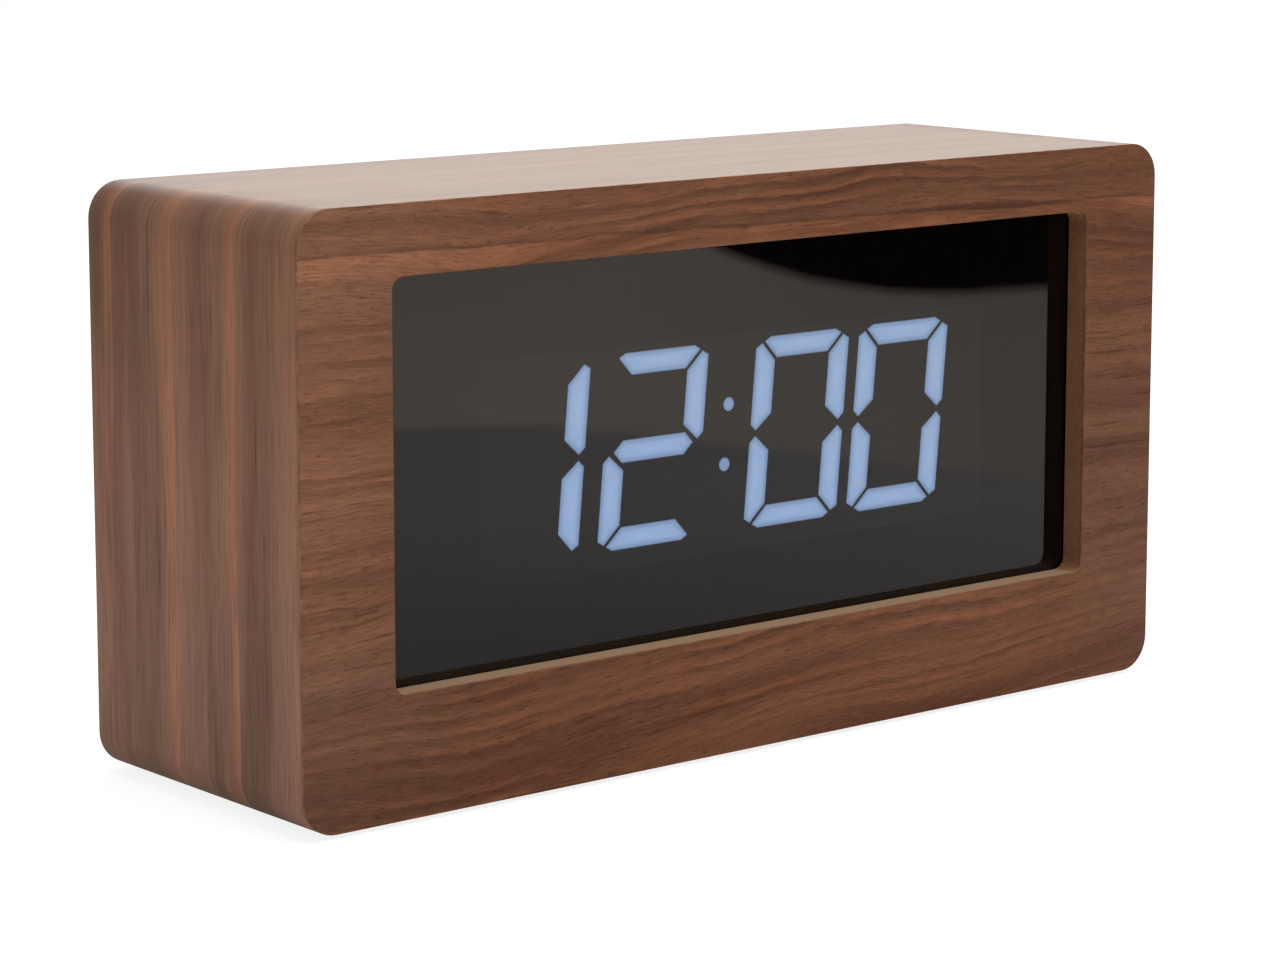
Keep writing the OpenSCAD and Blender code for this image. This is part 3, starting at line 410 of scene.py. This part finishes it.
# The left bar is paler half way up, and the lower bar and the right bar differ a little in hue.
PLAIN = (1.0, 1.0, 1.0, 1.0)
past_left_bar = span(tree, spot[0], -120 * MM, -70 * MM)
on_right_bar = span(tree, spot[0], 95 * MM, 110 * MM)
over_low_bar = span(tree, spot[2], 0.0, 50 * MM)
left_middle = span(tree, spot[2], 30 * MM, 50 * MM)
left_head = span(tree, spot[2], 95 * MM, 110 * MM)
right_head = span(tree, spot[2], 40 * MM, 100 * MM)
left_tint = mixed(tree, left_middle, (1.0, 1.15, 1.35, 1.0), (1.5, 1.65, 1.77, 1.0))
left_tint = mixed(tree, left_head, left_tint, (1.24, 1.36, 1.46, 1.0))
right_tint = mixed(tree, right_head, (0.94, 1.01, 1.1, 1.0), (1.03, 1.01, 1.0, 1.0))
low_tint = mixed(tree, over_low_bar, (1.0, 0.93, 0.86, 1.0), PLAIN)
tint = mixed(tree, past_left_bar, left_tint, PLAIN)
tint = mixed(tree, on_right_bar, tint, right_tint)
tint = mixed(tree, 1.0, tint, low_tint, "MULTIPLY")

# A pale flame with a dark line above it falls gently to the right, just over the window.
wobble = calc(tree, "MULTIPLY", calc(tree, "SUBTRACT", noise(tree, place, 60, 3.0), 0.5), 2.4 * MM)
flame_line = calc(tree, "ADD", calc(tree, "MULTIPLY_ADD", spot[0], FLAME_FALL, FLAME_Z), wobble)
below = calc(tree, "SUBTRACT", flame_line, spot[2])
flame_start = span(tree, below, 0.0, 0.4 * MM)
flame_end = span(tree, below, 2 * MM, 6 * MM, 1.0, 0.0)
flame_patch = span(tree, noise(tree, place, 38, 2.0), 0.38, 0.6, 0.45, 1.0)
flame = calc(tree, "MULTIPLY", calc(tree, "MULTIPLY", flame_start, flame_end), flame_patch)
line_start = span(tree, below, -1.1 * MM, -0.2 * MM)
line_end = span(tree, below, -0.2 * MM, 0.1 * MM, 1.0, 0.0)
tint = tinted(tree, flame, tint, (1.46, 1.38, 1.3, 1.0))
tint = tinted(tree, calc(tree, "MULTIPLY", line_start, line_end), tint, (0.72, 0.7, 0.68, 1.0))
tree.links.new(mixed(tree, 1.0, veneer_colour, tint, "MULTIPLY"), shader["Base Color"])

# The cut edge's pale colour is a painted highlight along the edge, broken by darker nicks.
cut_walnut_highlight, tree, shader, place = start_finish("cut_walnut_highlight")
nicks = noise(tree, place, 300, 2.0, 0.5)
nicked = mixed(tree, span(tree, nicks, 0.4, 0.6), tone(142, 102, 78), tone(112, 76, 56))
tree.links.new(nicked, shader["Base Color"])
shader["IOR"].default_value = 1.3
tree.links.new(span(tree, nicks, 0.3, 0.7, 0.42, 0.6), shader["Roughness"])

bm = ring_sheet(outer_rim, window_rim, front_low.y, front_high.y)
for face in bm.faces:
    face.material_index = int(abs(face.normal.y) < 0.5)
add_piece(bm, "front_sheet", [front_walnut, cut_walnut_highlight], stands_for=["front_veneer"])

# Lens and its tape
# The window is a sheet of smoked acrylic, 2 mm thick and polished, stuck to the back of the front
# board with black foam tape.
lens_tape = start_moulded("lens_tape", 0.7, 0.5, tone(20, 20, 20), tone(30, 30, 30), 0.8, 0.95)
dress(lens_tape, "lens_tape")

smoked_acrylic, tree, shader, place = start_finish("smoked_acrylic")
shader["Base Color"].default_value = (0.06, 0.0591, 0.0579, 1.0)
shader["Transmission Weight"].default_value = 1.0
shader["IOR"].default_value = 1.49
tree.links.new(span(tree, noise(tree, place, 40, 2.0), 0.35, 0.7, 0.012, 0.03), shader["Roughness"])
dress(smoked_acrylic, "lens")

# Display carrier
# A black moulded frame clamps the lens from behind and carries the display. Four steel screws
# hold it to the front board.
carrier_plastic = start_moulded("carrier_plastic", 0.45, 0.35, tone(13, 13, 14), tone(18, 18, 19), 0.6, 0.72)
carrier_plastic.node_tree.nodes["Principled BSDF"].inputs["IOR"].default_value = 1.1
dress(carrier_plastic, "display_carrier")

plated_steel, tree, shader, place = start_finish("plated_steel")
brush = noise(tree, wire(tree, "Mapping", {"Vector": place, "Scale": (1.0, 8.0, 1.0)}).outputs[0], 600, 2.0)
brushed = mixed(tree, span(tree, brush, 0.35, 0.65), tone(168, 170, 173), tone(205, 206, 208))
tree.links.new(brushed, shader["Base Color"])
tree.links.new(span(tree, brush, 0.3, 0.7, 0.24, 0.4), shader["Roughness"])
shader["Metallic"].default_value = 1.0
dress(plated_steel, "carrier_screws")

# Light box
# One black block holds a cell for each segment and colon dot. Inserts of clear grey resin fill the
# front of the cells; those of the dark segments hardly differ from the block.
box_plastic = start_moulded("box_plastic", 0.3, 0.25, tone(20, 19, 18), tone(26, 25, 24), 0.5, 0.62)
dress(box_plastic, "light_box")
dark_resin = start_moulded("dark_resin", 0.8, 0.15, tone(28, 28, 29), tone(35, 35, 36), 0.3, 0.42)
dress(dark_resin, "dark_segments")

# Lit segments and colon
# The same inserts with light behind them: pale blue in the middle, where the chip shines through,
# deeper blue towards the walls of the cell and dim at the very rim.
BAR_GLOW = ((0.3 * MM, 0.4), (0.45 * MM, 0.52), (0.45 * MM, 0.82))
DOT_GLOW = ((0.35 * MM, 0.4), (0.8 * MM, 0.5))
GLOW_STRENGTH = 11.8
lit_resin, tree, shader, place = start_finish("lit_resin")
glow = wire(tree, "Attribute", {}, attribute_name="glow").outputs["Fac"]
cloud = noise(tree, place, 160, 2.0)
blue = mixed(tree, span(tree, glow, 0.0, 0.4), (0.135, 0.207, 0.36, 1.0), (0.259, 0.405, 0.68, 1.0))
blue = mixed(tree, span(tree, glow, 0.4, 1.0), blue, (0.432, 0.63, 1.0, 1.0))
light = mixed(tree, span(tree, cloud, 0.3, 0.7, 0.0, 0.12), blue, (0.347, 0.527, 0.87, 1.0))
tree.links.new(light, shader["Emission Color"])
tree.links.new(light, shader["Base Color"])
shader["Emission Strength"].default_value = GLOW_STRENGTH
shader["Roughness"].default_value = 0.65


def lit_piece(name, node, grades, core):
    """Copies an insert and grades its front face by widths and levels, from the rim to the core."""
    bm = merged_copy(node)
    glow = bm.verts.layers.float.new("glow")
    fronts = [face for face in bm.faces if face.normal.y < -0.9]
    for width, level in grades:
        bmesh.ops.inset_individual(bm, faces=fronts, thickness=width, use_even_offset=True)
        for face in fronts:
            for vert in face.verts:
                vert[glow] = level
    for vert in bmesh.ops.poke(bm, faces=fronts, center_mode="MEAN")["verts"]:
        vert[glow] = core
    add_piece(bm, name, [lit_resin], stands_for=[node])


lit_piece("lit_bars", "lit_segments", BAR_GLOW, 1.0)
lit_piece("lit_dots", "colon_dots", DOT_GLOW, 0.5)

# Display board
# LED chips sit on a green board behind the light box, which four screws hold to the carrier's
# posts. The driver chip and the ribbon's socket are on its back.
led_package = start_moulded("led_package", 0.3, 0.2, tone(214, 206, 172), tone(232, 226, 198), 0.25, 0.4)
dress(led_package, "led_chips")

circuit_board, tree, shader, place = start_finish("circuit_board")
TRACK_PITCH = 1.27
place_mm = wire(tree, "VectorMath", {0: place, "Scale": 1 / MM}, operation="SCALE").outputs[0]
spot = wire(tree, "SeparateXYZ", {0: place_mm}).outputs
turned = span(tree, noise(tree, place, 55, 0.0), 0.49, 0.51)
level_track = calc(tree, "PINGPONG", spot[2], TRACK_PITCH / 2)
upright_track = calc(tree, "PINGPONG", spot[0], TRACK_PITCH / 2)
track = calc(tree, "ADD", calc(tree, "MULTIPLY", level_track, turned),
             calc(tree, "MULTIPLY", upright_track, calc(tree, "SUBTRACT", 1.0, turned)))
copper = span(tree, track, 0.26, 0.34)
tree.links.new(mixed(tree, copper, tone(18, 74, 46), tone(36, 104, 66)), shader["Base Color"])
tree.links.new(bump(tree, copper, 0.3, 0.05 * MM), shader["Normal"])
shader["Roughness"].default_value = 0.3
dress(circuit_board, "display_board", "main_board")

chip_resin = start_moulded("chip_resin", 0.25, 0.3, tone(30, 30, 32), tone(40, 40, 42), 0.5, 0.66)
dress(chip_resin, "driver_chip", "controller", "buzzer", "switch_housings")
dress(plated_steel, "display_screws")

socket_nylon = start_moulded("socket_nylon", 0.5, 0.2, tone(214, 208, 190), tone(228, 223, 208), 0.36, 0.5)
dress(socket_nylon, "display_socket", "main_socket")

ribbon_vinyl, tree, shader, place = start_finish("ribbon_vinyl")
WIRE_PITCH = 1.27 * MM
ribbon_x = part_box("ribbon_cable")[0].x
from_edge = calc(tree, "SUBTRACT", wire(tree, "SeparateXYZ", {0: place}).outputs[0], ribbon_x)
ridge = calc(tree, "PINGPONG", from_edge, WIRE_PITCH / 2)
grey = mixed(tree, span(tree, ridge, 0.0, 0.25 * MM), tone(136, 138, 142), tone(186, 188, 192))
first_wire = span(tree, from_edge, WIRE_PITCH, WIRE_PITCH * 1.02, 1.0, 0.0)
tree.links.new(mixed(tree, first_wire, grey, tone(170, 40, 36)), shader["Base Color"])
tree.links.new(bump(tree, ridge, 0.8, 1.0), shader["Normal"])
shader["Roughness"].default_value = 0.5
dress(ribbon_vinyl, "ribbon_cable")

# Main board
# A larger green board on posts of the rear cover carries the controller, its crystal, a capacitor,
# the buzzer and the switches.
dress(plated_steel, "main_screws", "crystal")
capacitor_sleeve = start_moulded("capacitor_sleeve", 1.2, 0.1, tone(38, 44, 70), tone(50, 56, 84), 0.25, 0.4)
dress(capacitor_sleeve, "capacitor")

# Power inlet
# A drawn steel shell stands on the main board with its mouth in the rear cover, and holds a black
# tongue for the plug.
dress(plated_steel, "power_socket")
dress(chip_resin, "power_tongue")

# Keys and plungers
# Five round keys of satin black plastic stand through the rear cover, each with a sunk mark filled
# with pale paint. Ivory plungers carry their push to the switches.
KEYS = ("set_key", "alarm_key", "up_key", "down_key", "light_key")
MARK_SINK = 0.3 * MM
dress(socket_nylon, "set_plunger", "alarm_plunger", "up_plunger", "down_plunger", "light_plunger")

key_plastic, tree, shader, place = start_finish("key_plastic")
mark_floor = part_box("set_key")[1].y - MARK_SINK
key_y = wire(tree, "SeparateXYZ", {0: place}).outputs[1]
mark_depth = calc(tree, "ABSOLUTE", calc(tree, "SUBTRACT", key_y, mark_floor))
paint = span(tree, mark_depth, 0.02 * MM, 0.04 * MM, 1.0, 0.0)
satin = noise(tree, place, 2600, 2.0, 0.6)
plastic = mixed(tree, span(tree, satin, 0.35, 0.65), tone(33, 33, 34), tone(44, 44, 45))
tree.links.new(mixed(tree, paint, plastic, tone(206, 206, 200)), shader["Base Color"])
tree.links.new(span(tree, satin, 0.3, 0.7, 0.36, 0.48), shader["Roughness"])
tree.links.new(bump(tree, satin, 0.15, 0.05 * MM), shader["Normal"])
dress(key_plastic, *KEYS)

# Rear cover
# One black moulding closes the back. Four countersunk steel screws hold it to the corner blocks.
# Its edges are eased by the mould, and spark grain dulls its face.
COVER_EASE = 0.2 * MM
cover_plastic = start_moulded("cover_plastic", 0.4, 0.55, tone(30, 30, 31), tone(39, 39, 40), 0.52, 0.66)
bm = merged_copy("rear_cover")
ease(bm, COVER_EASE)
add_piece(bm, "rear_moulding", [cover_plastic], stands_for=["rear_cover"])
dress(plated_steel, "cover_screws")

# Battery door
# A thin moulded lid that turns on its rounded top edge, with two hooks behind the cover and a
# ridged tongue to open it.
DOOR_EASE = 0.15 * MM
bm = merged_copy("battery_door")
ease(bm, DOOR_EASE)
add_piece(bm, "door_moulding", [cover_plastic], body="battery_lid",
          stands_for=["battery_door"])

# Backup cells
# Three small cells lie head to foot in plain printed jackets, slate with a copper band at the head,
# between folded springs and contact plates.
CELLS = 3
cells_low, cells_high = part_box("backup_cells")
cell_jacket, tree, shader, place = start_finish("cell_jacket")
spot = wire(tree, "SeparateXYZ", {0: place}).outputs
row = calc(tree, "FLOOR", calc(tree, "DIVIDE", calc(tree, "SUBTRACT", cells_high.z, spot[2]),
                               (cells_high.z - cells_low.z) / CELLS))
way = calc(tree, "SUBTRACT", 1.0, calc(tree, "MULTIPLY", calc(tree, "MODULO", row, 2.0), 2.0))
from_middle = calc(tree, "MULTIPLY", way, calc(tree, "SUBTRACT", spot[0], (cells_low.x + cells_high.x) / 2))
half_cell = (cells_high.x - cells_low.x) / 2
head = span(tree, from_middle, half_cell * 0.52, half_cell * 0.53)
bare = span(tree, calc(tree, "ABSOLUTE", from_middle), half_cell - 2.4 * MM, half_cell - 2.3 * MM)
jacket = mixed(tree, head, tone(52, 56, 64), tone(176, 112, 70))
tree.links.new(mixed(tree, bare, jacket, tone(190, 190, 192)), shader["Base Color"])
tree.links.new(span(tree, noise(tree, place, 300, 2.0), 0.3, 0.7, 0.24, 0.36), shader["Roughness"])
shader["Metallic"].default_value = 0.7
dress(cell_jacket, "backup_cells")
dress(plated_steel, "cell_springs", "cell_contacts")

# Battery leads
# Two soft vinyl leads, one red and one black, run from the wall of the bay to the main board.
lead_vinyl, tree, shader, place = start_finish("lead_vinyl")
upper = span(tree, wire(tree, "SeparateXYZ", {0: place}).outputs[2], case_mid_z, case_mid_z + 0.01 * MM)
scuff = noise(tree, place, 900, 2.0)
colour = mixed(tree, upper, tone(34, 34, 36), tone(150, 34, 32))
scuffed = mixed(tree, span(tree, scuff, 0.4, 0.8, 0.0, 0.2), colour, tone(120, 110, 108))
tree.links.new(scuffed, shader["Base Color"])
shader["Roughness"].default_value = 0.45
dress(lead_vinyl, "battery_leads")

# Studio
# A white sweep carries a faint shadow. For reflections only, the floor is painted as a warm table
# with a darker mat under the clock, a painted reflection, and the mat is painted darker still close
# to the clock as painted shade. A dark card to the front right, seen only in reflections, is a
# painted reflection too. Two softboxes light it from above and from behind.
FLOOR_HALF = 2.2
FLOOR_DROP = 0.05 * MM
FLOOR_BOUNCE = 0.64
FLOOR_SEEN = 0.85
FLOOR_SHADE = 0.25
WORLD_LEVEL = 0.6
WHITE = (1.0, 1.0, 1.0, 1.0)
MAT_WARMTH = (1.0, 0.88, 0.82, 1.0)
TABLE_WARMTH = (1.0, 0.83, 0.675, 1.0)
MAT_RIGHT, MAT_RIGHT_SLOPE = 0.368, 0.3
MAT_FRONT, MAT_FRONT_SLOPE = -0.561, 0.6
MAT_BLUR = 0.01


def seen_rays(tree):
    """1 for rays that show the background: camera, reflection and glass."""
    path = wire(tree, "LightPath", {}).outputs
    shown = calc(tree, "MAXIMUM", path["Is Camera Ray"], path["Is Glossy Ray"])
    return calc(tree, "MAXIMUM", shown, path["Is Transmission Ray"])


def add_stage(bm, name, finish):
    mesh = bpy.data.meshes.new(name)
    bm.to_mesh(mesh)
    bm.free()
    mesh.materials.append(finish)
    stage = bpy.data.objects.new(name, mesh)
    bpy.context.scene.collection.objects.link(stage)
    return stage


floor_paper = bpy.data.materials.new("floor_paper")
floor_paper.use_nodes = True
tree = floor_paper.node_tree
tree.nodes.clear()
lit_floor = wire(tree, "BsdfDiffuse", {"Color": (FLOOR_BOUNCE, FLOOR_BOUNCE, FLOOR_BOUNCE, 1.0)}).outputs[0]
shade = wire(tree, "BsdfDiffuse", {"Color": (FLOOR_SHADE, FLOOR_SHADE, FLOOR_SHADE, 1.0)}).outputs[0]
floor_place = wire(tree, "TexCoord", {}).outputs["Object"]
floor_spot = wire(tree, "SeparateXYZ", {0: floor_place}).outputs
away = wire(tree, "VectorMath", {0: floor_place}, operation="LENGTH").outputs["Value"]
# From here the floor paints what reflections see: a table, and a darker mat bounded by two lines.
mat_right = calc(tree, "MULTIPLY_ADD", floor_spot[1], MAT_RIGHT_SLOPE, MAT_RIGHT)
mat_front = calc(tree, "MULTIPLY_ADD", floor_spot[0], MAT_FRONT_SLOPE, MAT_FRONT)
past_right = calc(tree, "SUBTRACT", floor_spot[0], mat_right)
past_front = calc(tree, "SUBTRACT", mat_front, floor_spot[1])
off_mat = span(tree, calc(tree, "MAXIMUM", past_right, past_front), -MAT_BLUR, MAT_BLUR)
# Close to the clock the mat is painted darker: painted shade of the clock, seen in reflections.
painted_mat_shade = span(tree, away, 0.12, 0.34, 0.2, 0.5)
mat_level = calc(tree, "MULTIPLY", painted_mat_shade, span(tree, floor_spot[0], 0.1, 0.3, 1.0, 0.82))
aside = span(tree, calc(tree, "ADD", floor_spot[0], floor_spot[1]), -0.2, 0.06, 0.91, 0.52)
table_level = calc(tree, "MULTIPLY", aside, span(tree, away, 0.5, 0.9, 1.0, 0.92))
gain = calc(tree, "SUBTRACT", table_level, mat_level)
mirrored = calc(tree, "MULTIPLY_ADD", gain, off_mat, mat_level)
glossy = wire(tree, "LightPath", {}).outputs["Is Glossy Ray"]
level = calc(tree, "ADD", calc(tree, "MULTIPLY", mirrored, glossy),
             calc(tree, "MULTIPLY", calc(tree, "SUBTRACT", 1.0, glossy), FLOOR_SEEN))
paper = mixed(tree, glossy, WHITE, mixed(tree, off_mat, MAT_WARMTH, TABLE_WARMTH))
white = wire(tree, "Emission", {"Color": paper, "Strength": level}).outputs[0]
shown = wire(tree, "AddShader", {0: shade, 1: white}).outputs[0]
both = wire(tree, "MixShader", {0: seen_rays(tree), 1: lit_floor, 2: shown}).outputs[0]
wire(tree, "OutputMaterial", {"Surface": both})
bm = bmesh.new()
bmesh.ops.create_grid(bm, x_segments=1, y_segments=1, size=FLOOR_HALF)
bmesh.ops.translate(bm, verts=bm.verts[:], vec=(0, 0, -FLOOR_DROP))
add_stage(bm, "floor", floor_paper)

CARD_Y = -450 * MM
CARD_TOP = 500
CARD_FEATHER = 2.4
CARD_EDGE = ((300, 110), (318, 75), (335, 57), (350, 50.5), (362, 46), (377, 41), (398, 34.8), (418, 30.8),
             (439, 27), (460, 24.7), (482, 22.9), (505, 22.2), (530, 21.5), (620, 23), (900, 40))
# The dark card is a painted reflection: only reflections see it, it neither lights nor shades anything.
painted_reflection_card = bpy.data.materials.new("painted_reflection_card")
painted_reflection_card.use_nodes = True
tree = painted_reflection_card.node_tree
tree.nodes.clear()
cover = wire(tree, "Attribute", {}, attribute_name="cover").outputs["Fac"]
clear = wire(tree, "BsdfTransparent", {}).outputs[0]
black = wire(tree, "BsdfDiffuse", {"Color": (0.03, 0.018, 0.016, 1.0)}).outputs[0]
wire(tree, "OutputMaterial", {"Surface": wire(tree, "MixShader", {0: cover, 1: clear, 2: black}).outputs[0]})
bm = bmesh.new()
cover = bm.verts.layers.float.new("cover")
columns = []
for x, z in CARD_EDGE:
    heights = (z - CARD_FEATHER, z + CARD_FEATHER, CARD_TOP)
    column = [bm.verts.new((x * MM, CARD_Y, up * MM)) for up in heights]
    column[1][cover] = 1.0
    column[2][cover] = 1.0
    columns.append(column)
for left, right in zip(columns, columns[1:]):
    for low in (0, 1):
        bm.faces.new((left[low], right[low], right[low + 1], left[low + 1]))
card = add_stage(bm, "painted_reflection_card", painted_reflection_card)
card.visible_camera = False
card.visible_diffuse = False
card.visible_shadow = False
card.visible_transmission = False

world = bpy.data.worlds.new("studio")
bpy.context.scene.world = world
world.use_nodes = True
tree = world.node_tree
tree.nodes.clear()
soft = wire(tree, "Background", {"Color": WHITE, "Strength": WORLD_LEVEL}).outputs[0]
white = wire(tree, "Background", {"Color": WHITE, "Strength": 1.0}).outputs[0]
sky = wire(tree, "MixShader", {0: seen_rays(tree), 1: soft, 2: white}).outputs[0]
wire(tree, "OutputWorld", {"Surface": sky})


def add_softbox(name, width, height, power, place, aim):
    """A soft area lamp that hangs at a place and faces a point."""
    lamp = bpy.data.lights.new(name, "AREA")
    lamp.shape = "RECTANGLE"
    lamp.size = width
    lamp.size_y = height
    lamp.energy = power
    box = bpy.data.objects.new(name, lamp)
    box.location = place
    box.rotation_euler = (Vector(aim) - Vector(place)).to_track_quat("-Z", "Y").to_euler()
    box.visible_camera = False
    bpy.context.scene.collection.objects.link(box)


add_softbox("overhead", 1.2, 1.2, 20.0, (0.25, -0.35, 1.35), (0.0, 0.0, 0.0))
add_softbox("behind", 1.6, 0.9, 6.0, (1.0, 1.25, 0.75), (0.0, 0.0, 0.1))

# Camera
# It stands to the left of the front, a little above the clock, where the photograph's edges put it.
FOCAL_LENGTH = 105.53
FRAME_SHIFT = -0.08
CAMERA_PLACE = (-541.76 * MM, -649.24 * MM, 207.16 * MM)
CAMERA_TILT = math.radians(81.447)
CAMERA_TURN = math.radians(-39.579)
view = bpy.data.cameras.new("camera")
view.sensor_width = 36.0
view.lens = FOCAL_LENGTH
view.shift_y = FRAME_SHIFT
view.clip_start = 0.01
camera = bpy.data.objects.new("camera", view)
camera.location = CAMERA_PLACE
camera.rotation_euler = (CAMERA_TILT, 0.0, CAMERA_TURN)
bpy.context.scene.collection.objects.link(camera)
bpy.context.scene.camera = camera
bpy.context.scene.view_settings.view_transform = "Standard"
